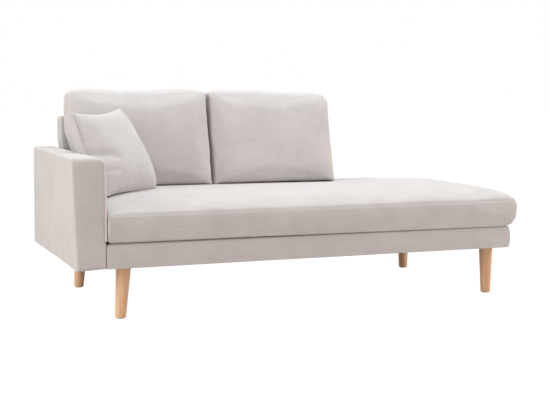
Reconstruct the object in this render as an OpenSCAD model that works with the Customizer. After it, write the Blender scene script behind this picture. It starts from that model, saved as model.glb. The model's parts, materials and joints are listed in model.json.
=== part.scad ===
// Meridienne: a chaise sofa with one arm at the left, a backrest over part of its length,
// a long seat cushion, two loose back cushions, a throw pillow and four tapered wooden legs.
// Inside the modules x runs from the arm to the foot end, y from front to back, z up from the floor.

/* [Overall] */
// Length of the frame, from the foot of the arm's outer face to the foot end
frame_length = 1840; // [1700:5:2100]
// Depth of the frame, front to back
frame_depth = 911; // [840:1:1000]
// Height of the legs, from the floor to the underside of the frame
leg_height = 200; // [130:1:260]

/* [Base] */
// Height of the upholstered base
base_height = 92; // [86:1:140]
// Radius of the base's padded edges
base_edge_radius = 12; // [8:1:20]
// Thickness of the timber rails
rail_thickness = 28; // [20:1:36]
// Side of the opening's fabric lip under the base
cover_lip = 30; // [15:1:38]
// Width of an elastic strap
strap_width = 60; // [40:1:80]
// Thickness of an elastic strap
strap_thickness = 2; // [1:0.5:3]
// Least gap between two straps
strap_gap = 35; // [20:1:80]
// Thickness of the felt pad on the straps
felt_thickness = 6.5; // [3:0.5:12]
// Thickness of the wadding round the rails
wadding_thickness = 4; // [2:0.5:8]
// Thickness of the dust cloth
dust_cloth_thickness = 1; // [0.5:0.5:1.5]

/* [Arm] */
// Width of the arm at its foot
arm_width = 108; // [96:1:150]
// Height of the arm above the underside of the frame
arm_height = 415; // [360:1:500]
// How far the top of the arm leans out at the front
arm_lean_front = 17; // [0:1:30]
// How far the top of the arm leans out at the back
arm_lean_back = 4; // [0:1:30]
// Radius of the arm's long top edges
arm_top_radius = 26; // [16:1:40]
// Radius of the arm's other edges
arm_edge_radius = 10; // [5:1:14]
// Padding on the arm's sides
arm_side_padding = 9; // [5:1:16]
// Padding on the arm's front and back
arm_end_padding = 8; // [5:1:16]
// Padding on top of the arm
arm_top_padding = 22; // [10:1:34]
// Width of an arm post, front to back
arm_post_width = 40; // [30:1:60]
// Height of the arm's top rail
arm_top_rail_height = 25; // [18:1:40]
// Thickness of a hardboard skin
board_thickness = 3; // [2:0.5:5]

/* [Backrest] */
// Length of the backrest panel
back_length = 1232; // [1100:1:1300]
// Thickness of the backrest panel
back_thickness = 74; // [64:1:100]
// Height of the backrest panel above the underside of the frame
back_height = 546; // [440:1:620]
// Radius of the panel's padded edges
back_edge_radius = 12; // [6:1:16]
// Padding on the front of the panel
back_front_padding = 8.5; // [4:0.5:14]
// Padding on top of the panel and at its ends
back_top_padding = 10; // [6:1:20]
// Width of a back post
back_post_width = 45; // [36:1:60]
// Thickness of a back post
back_post_thickness = 30; // [22:1:36]
// Height of the panel's top rail
back_top_rail_height = 32; // [20:1:50]
// Number of straps across the panel
back_straps = 5; // [3:1:6]

/* [Legs] */
// Diameter of a leg at its top
leg_top_diameter = 58; // [46:1:64]
// Diameter of a leg at its foot
leg_foot_diameter = 41; // [36:1:46]
// Distance of the legs from the base's front and back
leg_inset = 75; // [70:1:110]
// Distance of the left legs from the arm
leg_inset_left = 80; // [75:1:120]
// Distance of the right legs from the foot end
leg_inset_right = 70; // [70:1:120]
// How far the left feet stand out past their tops
leg_splay_left = 14; // [0:1:20]
// How far the right feet stand out past their tops
leg_splay_right = 2; // [0:1:20]
// Side of a square leg plate
leg_plate_width = 70; // [66:1:80]
// Thickness of a leg plate
leg_plate_thickness = 3; // [2.5:0.5:4]
// Height of a corner block
block_height = 40; // [30:1:46]
// Diameter of a glide
glide_diameter = 30; // [20:1:34]
// Thickness of a glide
glide_thickness = 3; // [2:0.5:5]

/* [Seat cushion] */
// How far the seat cushion overhangs the foot end
seat_overhang = 41; // [10:1:60]
// Height of the seat cushion's border, up to where its top begins
seat_border = 108; // [80:1:140]
// Rise of the seat cushion's top above its border
seat_crown = 57; // [20:1:80]
// Distance from an edge over which most of the rise happens
seat_crown_reach = 58; // [40:1:120]
// Radius of the seat cushion's corners, seen from above
seat_corner_radius = 45; // [20:1:80]

/* [Back cushions] */
// Width of the left back cushion
left_cushion_width = 626; // [560:1:640]
// Width of the right back cushion
right_cushion_width = 591; // [540:1:600]
// Height of a back cushion
cushion_height = 399; // [330:1:450]
// Thickness of a back cushion at its border
cushion_border = 100; // [70:1:120]
// Rise of a back cushion's front above its border
cushion_front_crown = 40; // [15:1:60]
// Rise of a back cushion's back above its border
cushion_rear_crown = 12; // [5:1:25]
// Distance from an edge over which most of the rise happens
cushion_crown_reach = 60; // [30:1:100]
// Radius of a back cushion's corners
cushion_corner_radius = 34; // [15:1:60]
// How much narrower a back cushion is at its back, at each edge
cushion_taper = 12; // [5:1:20]
// Gap between the left back cushion and the arm
cushion_arm_gap = 3; // [0.5:0.5:10]
// Rake of the back cushions, in degrees from upright
cushion_rake = 12.6; // [6:0.1:18]

/* [Throw pillow] */
// Side of the throw pillow, tip to tip
pillow_side = 366; // [340:1:400]
// Thickness of the throw pillow at its middle
pillow_thickness = 142; // [90:1:150]
// How far the middle of each side is drawn in
pillow_draw_in = 12; // [0:1:25]
// Distance from a side over which most of the rise happens
pillow_crown_reach = 38; // [30:1:60]
// Direction of the pillow's lower edge, in degrees from the sofa's length
pillow_turn = 43; // [30:1:50]
// How far the pillow leans back, in degrees from upright
pillow_lean = 30; // [20:0.5:32]
// Distance of the pillow's middle from the backrest panel
pillow_from_back = 376; // [360:1:420]

/* [Fabric and fits] */
// Thickness of the upholstery fabric
fabric = 1.5; // [1:0.1:2.5]
// Gap round a loose cushion
cushion_gap = 0.4; // [0.3:0.1:2]
// Gap between the seat cushion and the backrest panel
panel_gap = 2; // [0.5:0.5:5]
// Radial clearance of a bolt in its hole
bolt_clearance = 0.5; // [0.2:0.1:1]
// Radial clearance of a nut, stud or nail in its hole
snug_clearance = 0.1; // [0.05:0.05:0.3]
// Width of a zip
zip_width = 8; // [5:1:10]
// Depth of a zip in its cover
zip_depth = 4; // [3:0.5:5]

/* [Hidden] */
$fn = 32;
sliver = 0.1;
cut = 1;

// Heights
timber_z = leg_height + leg_plate_thickness;
base_top = leg_height + base_height;
felt_z = base_top - fabric - felt_thickness;
strap_z = felt_z - strap_thickness;
arm_top = leg_height + arm_height;
panel_top = leg_height + back_height;

// Base rails
side_skin = fabric + wadding_thickness;
base_x = arm_width;
rails_x0 = base_x + fabric;
rails_x1 = frame_length - side_skin;
rails_y0 = side_skin;
rails_y1 = frame_depth - side_skin;
inner_x0 = rails_x0 + rail_thickness;
inner_x1 = rails_x1 - rail_thickness;
inner_y0 = rails_y0 + rail_thickness;
inner_y1 = rails_y1 - rail_thickness;

// Legs, with a sign for the side to which each foot splays
leg_left_x = base_x + leg_inset_left;
leg_right_x = frame_length - leg_inset_right;
leg_front_y = leg_inset;
leg_rear_y = frame_depth - leg_inset;
leg_tops = [
    [leg_left_x, leg_front_y],
    [leg_right_x, leg_front_y],
    [leg_left_x, leg_rear_y],
    [leg_right_x, leg_rear_y]
];
leg_splays = [-leg_splay_left, leg_splay_right, -leg_splay_left, leg_splay_right];
block_margin = 6;
block_half = leg_plate_width / 2 + block_margin;
plate_screw_inset = 6;
plate_screw_radius = 2;
plate_screw_head_radius = 3.6;
plate_screw_head_height = 1.8;
plate_screw_length = 20;
stud_radius = 4;
stud_depth_in_leg = 35;
boss_radius = 7;
boss_height = 12;
nail_radius = 1.5;
nail_length = 15;

// Backrest panel
panel_x1 = base_x + back_length;
panel_y0 = frame_depth - back_thickness;
panel_core_x0 = base_x + back_top_padding;
panel_core_x1 = panel_x1 - back_top_padding;
panel_core_y0 = panel_y0 + back_front_padding;
panel_core_y1 = rails_y1;
panel_core_top = panel_top - back_top_padding;
back_post_y0 = inner_y1 - back_post_thickness;
left_post_x = leg_left_x + block_half;
right_post_x = panel_core_x1 - back_post_width;
centre_post_x = (left_post_x + right_post_x) / 2;
back_post_top = panel_core_top - back_top_rail_height;
post_xs = [left_post_x, centre_post_x, right_post_x];
cross_xs = [centre_post_x + back_post_width, right_post_x + back_post_width];

// Bays between the posts and rails, where straps run from front to back
bays = [
    [inner_x0, left_post_x],
    [left_post_x + back_post_width, centre_post_x],
    [cross_xs[0] + rail_thickness, right_post_x],
    [cross_xs[1] + rail_thickness, inner_x1]
];

// Bolts and tee nuts
bolt_radius = 4;
bolt_head_radius = 9;
bolt_head_height = 5;
bolt_edge = 20;
tee_radius = 5;
tee_depth = 12;
tee_flange_radius = 10;
tee_flange_height = 1.5;
bolt_end_gap = 2;
bolt_high_z = strap_z - bolt_edge;
bolt_low_z = timber_z + bolt_edge;

// Arm timber
arm_core_x0 = arm_side_padding;
arm_core_x1 = arm_width - arm_side_padding;
arm_core_y0 = arm_end_padding;
arm_core_y1 = frame_depth - arm_end_padding;
arm_core_top = arm_top - arm_top_padding;
arm_timber_x0 = arm_core_x0 + board_thickness;
arm_timber_x1 = arm_core_x1 - board_thickness;
arm_centre_y = (frame_depth - arm_post_width) / 2;
arm_post_ys = [arm_core_y0, arm_centre_y, arm_core_y1 - arm_post_width];
arm_rail_thickness = 40;
arm_rail_x0 = arm_timber_x1 - arm_rail_thickness;
arm_bolt_margin = 70;
arm_bolt_ys = [
    arm_post_ys[0] + arm_post_width + arm_bolt_margin,
    arm_post_ys[1] - arm_bolt_margin,
    arm_post_ys[1] + arm_post_width + arm_bolt_margin,
    arm_post_ys[2] - arm_bolt_margin
];

// Seat cushion: its box, and the outline of its border as height and distance drawn in
seat_z = base_top + cushion_gap;
seat_half = [
    (frame_length + seat_overhang - base_x - cushion_gap) / 2,
    frame_depth / 2,
    (seat_border + seat_crown) / 2
];
seat_middle = [base_x + cushion_gap + seat_half[0], seat_half[1], seat_z + seat_half[2]];
seat_side_inset = 3;
seat_outline = [
    [0, 40], [4, 26], [12, 13], [26, 7], [seat_border / 2, seat_side_inset],
    [seat_border - 13, 0], [seat_border - 5, 1.5], [seat_border, 5]
];
seat_face_insets = [14, 27, 46, 75, 120, 190, 300];
seat_top = seat_z + seat_border + seat_crown;

// Height of the seat cushion's top at a distance from the front
function seat_height(y) =
    seat_z + seat_border
        + seat_crown * crown_share([0, y - seat_middle[1]], seat_half, seat_crown_reach);

// Back cushions: the border's outline as distance from the middle and distance drawn in
border_half = cushion_border / 2;
border_rounding = 4;
border_outline = [
    [-border_half, cushion_taper], [-border_half * 0.8, cushion_taper - border_rounding],
    [0, border_rounding / 2], [border_half * 0.8, 0], [border_half, border_rounding]
];
cushion_face_insets = [16, 34, 62, 105, 165];
cushion_shear = tan(cushion_rake);
// A cushion's border stands on the seat where the seat is highest under it
cushion_foot_y = panel_y0 - cushion_rear_crown - border_half - (panel_top - seat_top) * cushion_shear;
cushion_z = cushion_gap
    + max([for (step = border_outline) seat_height(cushion_foot_y - step[0]) - step[1]]);
// The back of the cushions leans on the front edge of the panel's top
cushion_lean_share = crown_share(
    [0, panel_top - cushion_z - cushion_height / 2],
    [left_cushion_width / 2, cushion_height / 2],
    cushion_crown_reach
);
cushion_y_at_panel_top = panel_y0 - cushion_gap - cushion_rear_crown * cushion_lean_share - border_half;
left_cushion_x = base_x + cushion_arm_gap + left_cushion_width / 2;
right_cushion_x = left_cushion_x + (left_cushion_width + right_cushion_width) / 2 + cushion_gap;

// Throw pillow: a seam all round, and two crowned faces
pillow_seam_half = 3;
pillow_crown = pillow_thickness / 2 - pillow_seam_half;
pillow_seam_rounding = 1.5;
pillow_outline = [
    [-pillow_seam_half, pillow_seam_rounding], [0, 0], [pillow_seam_half, pillow_seam_rounding]
];
pillow_face_insets = [8, 20, 36, 58, 90, 135];
pillow_corner_radius = 10;
pillow_half = [pillow_side / 2, pillow_side / 2, pillow_thickness / 2];

// The pillow's back bulges down behind its seam, and dips deepest a little way in from it
pillow_back_slope = 1 / (tan(pillow_lean) * tan(pillow_turn));
pillow_back_bulge = pillow_crown / sin(pillow_lean);
pillow_dip_share = min(pillow_back_slope * pillow_crown_reach / pillow_back_bulge, 1);
pillow_dip = pillow_seam_half / sin(pillow_lean)
    + pillow_back_bulge * (1 - pillow_dip_share)
    + pillow_back_slope * pillow_crown_reach * ln(pillow_dip_share);
// The arm's rounded edge lets the pillow settle past the edge's sharp corner
pillow_settle = 0.6 * arm_top_radius;

// The lower right tip stands on the seat cushion, and the left side leans on the arm
pillow_y = panel_y0 - pillow_from_back;
pillow_tip_y = pillow_y + pillow_side / 2 * (sin(pillow_turn) - cos(pillow_turn) * sin(pillow_lean));
pillow_tip_reach = pillow_side / 2
    - pillow_draw_in * (1 - pow(1 - 2 * pillow_corner_radius / pillow_side, 2));
pillow_z = seat_height(pillow_tip_y) + cushion_gap + pillow_tip_reach * cos(pillow_lean);
pillow_x = base_x + pillow_side / 2 * cos(pillow_turn)
    + sin(pillow_turn) * tan(pillow_lean) * (arm_top + pillow_dip - pillow_settle - pillow_z);
pillow_middle = [pillow_x, pillow_y, pillow_z];

// Zips, which stand a little out of their seams
zip_proud = 1;
seat_zip_margin = 47;
cushion_zip_length = 420;
pillow_zip_length = 150;

// Colours
linen = [0.86, 0.84, 0.82];
linen_shade = [0.80, 0.78, 0.76];
light_wood = [0.84, 0.66, 0.50];
timber = [0.80, 0.68, 0.48];
hardboard = [0.52, 0.38, 0.25];
foam_cream = [0.95, 0.92, 0.80];
wadding_white = [0.96, 0.96, 0.94];
strap_black = [0.18, 0.18, 0.20];
felt_grey = [0.55, 0.55, 0.55];
steel = [0.70, 0.70, 0.72];
nylon = [0.30, 0.28, 0.26];

// Corner k of a rounded rectangle, at an angle of 0 to 90 degrees along its arc
function corner_point(k, half, radius, angle) =
    let (side_x = (k == 0 || k == 3) ? 1 : -1)
    let (side_y = k < 2 ? 1 : -1)
    [
        side_x * (half[0] - radius) + radius * cos(90 * k + angle),
        side_y * (half[1] - radius) + radius * sin(90 * k + angle)
    ];

corner_steps = 3;
side_steps = 2;
loop_size = 4 * (corner_steps + 1 + side_steps);

// A rounded rectangle, anticlockwise, with points along its sides too
function rounded_loop(half, radius) = [
    for (k = [0:3])
        each [
            for (j = [0:corner_steps])
                corner_point(k, half, radius, 90 * j / corner_steps),
            for (i = [1:side_steps])
                let (share = i / (side_steps + 1))
                (1 - share) * corner_point(k, half, radius, 90)
                    + share * corner_point((k + 1) % 4, half, radius, 0)
        ]
];

// The loop drawn in by a distance all round, and by draw_in more at the middle of each side
function inset_loop(half, radius, inset, draw_in) =
    let (least_radius = 6)
    let (smaller = [half[0] - inset, half[1] - inset])
    [
        for (p = rounded_loop(smaller, max(radius - inset, least_radius)))
            let (across = p[0] / half[0])
            let (along = p[1] / half[1])
            [
                p[0] * (1 - draw_in / half[0] * (1 - along * along)),
                p[1] * (1 - draw_in / half[1] * (1 - across * across))
            ]
    ];

// Share of the crown's rise at a place, from nothing at the edges to one in the middle
function crown_share(p, half, reach) =
    (1 - exp(-max(half[0] - abs(p[0]), 0) / reach))
        * (1 - exp(-max(half[1] - abs(p[1]), 0) / reach));

// One ring of a crowned face: a loop raised by its share of the crown
function face_ring(half, radius, inset, draw_in, level, crown, reach) = [
    for (p = inset_loop(half, radius, inset, draw_in))
        [p[0], p[1], level + crown * crown_share(p, half, reach)]
];

// One ring of the border: a level loop
function border_ring(half, radius, step, draw_in) = [
    for (p = inset_loop(half, radius, step[1], draw_in))
        [p[0], p[1], step[0]]
];

// All points of a cushion, from its lower face up: the last two are the faces' middles
function cushion_points(half, radius, outline, insets, crown_low, crown_high, reach, draw_in) =
    let (low = outline[0][0])
    let (high = outline[len(outline) - 1][0])
    let (low_insets = crown_low > 0 ? insets : [])
    [
        for (i = [len(low_insets) - 1:-1:0])
            each face_ring(half, radius, low_insets[i], draw_in, low, -crown_low, reach),
        for (step = outline)
            each border_ring(half, radius, step, draw_in),
        for (inset = insets)
            each face_ring(half, radius, inset, draw_in, high, crown_high, reach),
        [0, 0, low - crown_low],
        [0, 0, high + crown_high]
    ];

// Triangles over a stack of rings and its two closing fans
function cushion_faces(count) =
    let (rings = (count - 2) / loop_size)
    let (last = (rings - 1) * loop_size)
    [
        for (ring = [0:rings - 2])
            for (i = [0:loop_size - 1])
                let (a = ring * loop_size + i)
                let (b = ring * loop_size + (i + 1) % loop_size)
                each [[a, a + loop_size, b + loop_size], [a, b + loop_size, b]],
        for (i = [0:loop_size - 1])
            let (j = (i + 1) % loop_size)
            each [[count - 2, i, j], [count - 1, last + j, last + i]]
    ];

// Points drawn in toward a middle by a wall thickness
function within(points, middle, half, wall) = [
    for (p = points)
        [for (axis = [0:2]) middle[axis] + (p[axis] - middle[axis]) * (half[axis] - wall) / half[axis]]
];

module cushion_solid(points) {
    polyhedron(points, cushion_faces(len(points)), convexity = 4);
}

// A box between two corners
module box(low, high) {
    translate(low) cube([high[0] - low[0], high[1] - low[1], high[2] - low[2]]);
}

// A padded block, flat below: its right end and top are rounded, its left end only where asked
module padded_block(low, high, radius, round_left) {
    hull() {
        box(
            [low[0] + radius, low[1] + radius, high[2] - sliver],
            [high[0] - radius, high[1] - radius, high[2]]
        );
        for (y = [low[1] + radius, high[1] - radius]) {
            for (x = [low[0] + radius, high[0] - radius]) {
                translate([x, y, high[2] - radius]) sphere(r = radius);
                translate([x, y, low[2]]) cylinder(r = radius, h = high[2] - radius - low[2]);
            }
            if (!round_left) {
                translate([low[0], y, high[2] - radius])
                    rotate([0, 90, 0])
                        cylinder(r = radius, h = radius);
            }
        }
        if (!round_left) box(low, [low[0] + radius, high[1], high[2] - radius]);
    }
}

// The arm's padded form, drawn in by a distance all round
module arm_form(inset) {
    top_radius = arm_top_radius - inset;
    low_radius = max(arm_edge_radius - inset, 2);
    hull() {
        for (back = [0, 1]) {
            for (turn = [0, 45, 90]) {
                drawn = low_radius * (1 - cos(turn));
                from_end = inset + low_radius * (1 - sin(turn));
                y = back == 1 ? frame_depth - from_end - sliver : from_end;
                lean = back == 1 ? arm_lean_back : arm_lean_front;
                in = inset + drawn;
                upper = max(top_radius - drawn, 1);
                lower = max(low_radius - drawn, 1);
                arm_disc(-lean + in + upper, y, arm_top - in - upper, upper);
                arm_disc(arm_width - in - upper, y, arm_top - in - upper, upper);
                arm_disc(in + lower, y, leg_height + in + lower, lower);
                arm_disc(arm_width - in - lower, y, leg_height + in + lower, lower);
            }
        }
    }
}

module arm_disc(x, y, z, radius) {
    translate([x, y + sliver, z]) rotate([90, 0, 0]) cylinder(r = radius, h = sliver);
}

// A bolt along +X with its head at the origin's right side
module bolt_along_x(length) {
    rotate([0, 90, 0]) cylinder(r = bolt_head_radius, h = bolt_head_height);
    translate([-length, 0, 0]) rotate([0, 90, 0]) cylinder(r = bolt_radius, h = length + cut);
}

// The hole that a bolt along X needs
module bolt_hole_along_x(length) {
    translate([-length, 0, 0])
        rotate([0, 90, 0])
            cylinder(r = bolt_radius + bolt_clearance, h = length);
}

// A tee nut whose barrel runs along +X from its flange
module tee_nut_along_x(clearance) {
    rotate([0, 90, 0]) {
        cylinder(r = tee_flange_radius + clearance, h = tee_flange_height);
        cylinder(r = tee_radius + clearance, h = tee_flange_height + tee_depth);
    }
}

module tee_nut_bore() {
    translate([-cut, 0, 0])
        rotate([0, 90, 0])
            cylinder(r = bolt_radius + snug_clearance, h = tee_flange_height + tee_depth + 2 * cut);
}

// The arm's bolts run from inside the base into the arm's lower rails
module at_arm_bolts() {
    for (y = arm_bolt_ys) translate([inner_x0, y, bolt_high_z]) children();
}

arm_bolt_length = inner_x0 - arm_rail_x0 - bolt_end_gap;

module arm_bolt_holes() {
    at_arm_bolts() bolt_hole_along_x(inner_x0 - arm_rail_x0 + cut);
}

module at_arm_tee_nuts() {
    for (y = arm_bolt_ys) translate([arm_rail_x0 - tee_flange_height, y, bolt_high_z]) children();
}

// The back's bolts run from the posts' fronts into the rear rail
module at_back_bolts() {
    for (x = post_xs, z = [bolt_low_z, bolt_high_z])
        translate([x + back_post_width / 2, back_post_y0, z]) rotate([0, 0, -90]) children();
}

back_bolt_reach = rails_y1 - back_post_y0;

module back_bolt_holes() {
    at_back_bolts() bolt_hole_along_x(back_bolt_reach + cut);
}

module at_back_tee_nuts() {
    at_back_bolts() translate([-back_bolt_reach, 0, 0]) children();
}

// The space that the backrest panel takes, down to the straps it stands on
module panel_space() {
    box([base_x - cut, panel_y0, felt_z], [panel_x1, frame_depth + cut, panel_top + cut]);
}

// Base

module base_front_rail() {
    color(timber) box([rails_x0, rails_y0, timber_z], [rails_x1, inner_y0, strap_z]);
}

module base_rear_rail() {
    color(timber)
        difference() {
            box([rails_x0, inner_y1, timber_z], [rails_x1, rails_y1, strap_z]);
            back_bolt_holes();
            at_back_tee_nuts() tee_nut_along_x(snug_clearance);
        }
}

module base_end_rail(x) {
    box([x, inner_y0, timber_z], [x + rail_thickness, inner_y1, strap_z]);
}

module base_left_rail() {
    color(timber)
        difference() {
            base_end_rail(rails_x0);
            arm_bolt_holes();
        }
}

module base_right_rail() {
    color(timber) base_end_rail(inner_x1);
}

module base_cross_rails() {
    cross_rail_drop = 12;
    color(timber)
        for (x = cross_xs)
            box([x, inner_y0, timber_z], [x + rail_thickness, inner_y1, strap_z - cross_rail_drop]);
}

// A corner block reaches from the rails round its corner to just past its leg plate
module corner_blocks() {
    color(timber)
        difference() {
            for (top = leg_tops) {
                x0 = top[0] < frame_length / 2 ? inner_x0 : top[0] - block_half;
                x1 = top[0] < frame_length / 2 ? top[0] + block_half : inner_x1;
                y0 = top[1] < frame_depth / 2 ? inner_y0 : top[1] - block_half;
                y1 = top[1] < frame_depth / 2 ? top[1] + block_half : inner_y1;
                box([x0, y0, timber_z], [x1, y1, timber_z + block_height]);
            }
            at_leg_tops()
                translate([0, 0, leg_plate_thickness - cut])
                    cylinder(r = boss_radius + bolt_clearance, h = block_height + 2 * cut);
            at_leg_tops() plate_screws(snug_clearance);
        }
}

module seat_webbing() {
    color(strap_black)
        for (bay = bays) {
            width = bay[1] - bay[0];
            count = max(floor((width - strap_gap / 2) / (strap_width + strap_gap)), 1);
            pitch = width / count;
            for (i = [0:count - 1]) {
                x = bay[0] + pitch * (i + 0.5) - strap_width / 2;
                box([x, rails_y0, strap_z], [x + strap_width, rails_y1, felt_z]);
            }
        }
}

module deck_felt() {
    color(felt_grey)
        difference() {
            felt_space(base_top - fabric);
            panel_space();
        }
}

// The felt lies within the base's rounded edges, where the wadding rolls over the rails
module felt_space(top) {
    box(
        [rails_x0, base_edge_radius, felt_z],
        [frame_length - base_edge_radius, frame_depth - base_edge_radius, top]
    );
}

module base_form(inset) {
    padded_block(
        [base_x + inset, inset, leg_height + inset],
        [frame_length - inset, frame_depth - inset, base_top - inset],
        base_edge_radius - inset,
        false
    );
}

module base_opening() {
    box(
        [base_x + cover_lip, cover_lip, leg_height - cut],
        [frame_length - cover_lip, frame_depth - cover_lip, timber_z]
    );
}

module base_wadding() {
    color(wadding_white)
        difference() {
            base_form(fabric);
            box([base_x, rails_y0, timber_z], [rails_x1, rails_y1, felt_z]);
            felt_space(base_top);
            base_opening();
            panel_space();
        }
}

module base_cover() {
    color(linen_shade)
        difference() {
            base_form(0);
            base_form(fabric);
            base_opening();
            panel_space();
            arm_bolt_holes();
        }
}

module dust_cover() {
    color(strap_black)
        difference() {
            box(
                [base_x + cover_lip, cover_lip, timber_z - dust_cloth_thickness],
                [frame_length - cover_lip, frame_depth - cover_lip, timber_z]
            );
            at_leg_tops() plate_blank(leg_plate_width + 2 * bolt_clearance, cut);
        }
}

// Legs

module at_leg_tops() {
    for (top = leg_tops) translate([top[0], top[1], leg_height]) children();
}

module plate_blank(width, extra) {
    translate([-width / 2, -width / 2, -extra]) cube([width, width, leg_plate_thickness + 2 * extra]);
}

module plate_screws(clearance) {
    place = leg_plate_width / 2 - plate_screw_inset;
    for (x = [-place, place], y = [-place, place])
        translate([x, y, 0])
            cylinder(r = plate_screw_radius + clearance, h = plate_screw_length + clearance);
}

module leg_plates() {
    color(steel)
        at_leg_tops()
            difference() {
                union() {
                    plate_blank(leg_plate_width, 0);
                    cylinder(r = boss_radius, h = leg_plate_thickness + boss_height);
                }
                translate([0, 0, -cut])
                    cylinder(
                        r = stud_radius + snug_clearance,
                        h = leg_plate_thickness + boss_height + 2 * cut
                    );
                translate([0, 0, -cut]) plate_screws(snug_clearance);
            }
}

module leg_plate_screws() {
    place = leg_plate_width / 2 - plate_screw_inset;
    color(steel)
        at_leg_tops() {
            plate_screws(0);
            for (x = [-place, place], y = [-place, place])
                translate([x, y, -plate_screw_head_height])
                    cylinder(r = plate_screw_head_radius, h = plate_screw_head_height);
        }
}

module leg_studs() {
    color(steel)
        at_leg_tops()
            translate([0, 0, -stud_depth_in_leg])
                cylinder(r = stud_radius, h = stud_depth_in_leg + leg_plate_thickness + boss_height);
}

// A turned leg: a cone that leans about its top, cut level at the frame and above its glide
module leg(number) {
    splay = leg_splays[number];
    tilt = atan(splay / leg_height);
    spare = 20;
    top_radius = leg_top_diameter / 2;
    growth = (leg_top_diameter - leg_foot_diameter) / 2 / leg_height;
    color(light_wood)
        translate([leg_tops[number][0], leg_tops[number][1], 0])
            difference() {
                intersection() {
                    translate([0, 0, leg_height])
                        rotate([0, -tilt, 0])
                            translate([0, 0, -leg_height - spare])
                                cylinder(
                                    r1 = leg_foot_diameter / 2 - growth * spare,
                                    r2 = top_radius + growth * spare,
                                    h = leg_height + 2 * spare
                                );
                    box(
                        [-leg_top_diameter, -leg_top_diameter, glide_thickness],
                        [leg_top_diameter, leg_top_diameter, leg_height]
                    );
                }
                translate([0, 0, leg_height - stud_depth_in_leg - snug_clearance])
                    cylinder(r = stud_radius + snug_clearance, h = stud_depth_in_leg + cut);
                translate([splay, 0, 0])
                    cylinder(
                        r = nail_radius + snug_clearance,
                        h = glide_thickness + nail_length + snug_clearance
                    );
            }
}

module leg_front_left() {
    leg(0);
}

module leg_front_right() {
    leg(1);
}

module leg_rear_left() {
    leg(2);
}

module leg_rear_right() {
    leg(3);
}

module leg_glides() {
    color(nylon)
        for (number = [0:3])
            translate([leg_tops[number][0] + leg_splays[number], leg_tops[number][1], 0]) {
                cylinder(r = glide_diameter / 2, h = glide_thickness);
                cylinder(r = nail_radius, h = glide_thickness + nail_length);
            }
}

// Arm

module arm_post(number) {
    y = arm_post_ys[number];
    color(timber)
        box(
            [arm_timber_x0, y, timber_z],
            [arm_timber_x1, y + arm_post_width, arm_core_top - arm_top_rail_height]
        );
}

module arm_front_post() {
    arm_post(0);
}

module arm_centre_post() {
    arm_post(1);
}

module arm_rear_post() {
    arm_post(2);
}

module arm_top_rail() {
    color(timber)
        box(
            [arm_timber_x0, arm_core_y0, arm_core_top - arm_top_rail_height],
            [arm_timber_x1, arm_core_y1, arm_core_top]
        );
}

module arm_bottom_rails() {
    color(timber)
        difference() {
            for (gap = [0, 1])
                box(
                    [arm_rail_x0, arm_post_ys[gap] + arm_post_width, timber_z],
                    [arm_timber_x1, arm_post_ys[gap + 1], strap_z]
                );
            arm_bolt_holes();
            at_arm_tee_nuts() tee_nut_along_x(snug_clearance);
        }
}

module arm_board(x) {
    box([x, arm_core_y0, timber_z], [x + board_thickness, arm_core_y1, arm_core_top]);
}

module arm_inner_board() {
    color(hardboard)
        difference() {
            arm_board(arm_timber_x1);
            arm_bolt_holes();
        }
}

module arm_outer_board() {
    color(hardboard) arm_board(arm_core_x0);
}

module arm_foam() {
    color(foam_cream)
        difference() {
            arm_form(fabric);
            box([arm_core_x0, arm_core_y0, timber_z], [arm_core_x1, arm_core_y1, arm_core_top]);
            arm_bolt_holes();
        }
}

module arm_cover() {
    color(linen)
        difference() {
            arm_form(0);
            arm_form(fabric);
            arm_bolt_holes();
        }
}

module arm_bolts() {
    color(steel) at_arm_bolts() bolt_along_x(arm_bolt_length);
}

module arm_tee_nuts() {
    color(steel)
        at_arm_tee_nuts()
            difference() {
                tee_nut_along_x(0);
                tee_nut_bore();
            }
}

// Backrest panel

module back_post(number) {
    x = post_xs[number];
    color(timber)
        difference() {
            box([x, back_post_y0, timber_z], [x + back_post_width, inner_y1, back_post_top]);
            back_bolt_holes();
        }
}

module back_left_post() {
    back_post(0);
}

module back_centre_post() {
    back_post(1);
}

module back_right_post() {
    back_post(2);
}

module back_top_rail() {
    color(timber)
        box(
            [panel_core_x0, back_post_y0, back_post_top],
            [panel_core_x1, panel_core_y1 - board_thickness, panel_core_top]
        );
}

module back_rear_board() {
    color(hardboard)
        box(
            [panel_core_x0, panel_core_y1 - board_thickness, felt_z],
            [panel_core_x1, panel_core_y1, panel_core_top]
        );
}

module back_webbing() {
    room = panel_core_top - base_top;
    pitch = room / back_straps;
    color(strap_black)
        for (i = [0:back_straps - 1]) {
            z = base_top + pitch * (i + 0.5) - strap_width / 2;
            box(
                [panel_core_x0, back_post_y0 - strap_thickness, z],
                [panel_core_x1, back_post_y0, z + strap_width]
            );
        }
}

// The panel's padded form, drawn in by a distance and let down by another
module panel_form(inset, drop) {
    padded_block(
        [base_x + inset, panel_y0 + inset, felt_z - drop],
        [panel_x1 - inset, frame_depth - inset, panel_top - inset],
        back_edge_radius - inset,
        true
    );
}

module back_foam() {
    color(foam_cream)
        difference() {
            panel_form(fabric, 0);
            box(
                [panel_core_x0, back_post_y0 - strap_thickness, felt_z - cut],
                [panel_core_x1, panel_core_y1, panel_core_top]
            );
        }
}

module back_cover() {
    color(linen)
        difference() {
            panel_form(0, 0);
            panel_form(fabric, cut);
        }
}

module back_bolts() {
    color(steel) at_back_bolts() bolt_along_x(back_bolt_reach - bolt_end_gap);
}

module back_tee_nuts() {
    color(steel)
        at_back_tee_nuts()
            difference() {
                tee_nut_along_x(0);
                tee_nut_bore();
            }
}

// Seat cushion

function seat_points() = [
    for (p = cushion_points(
        seat_half, seat_corner_radius, seat_outline, seat_face_insets, 0, seat_crown, seat_crown_reach, 0
    ))
        [seat_middle[0] + p[0], seat_middle[1] + p[1], seat_z + p[2]]
];

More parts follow.
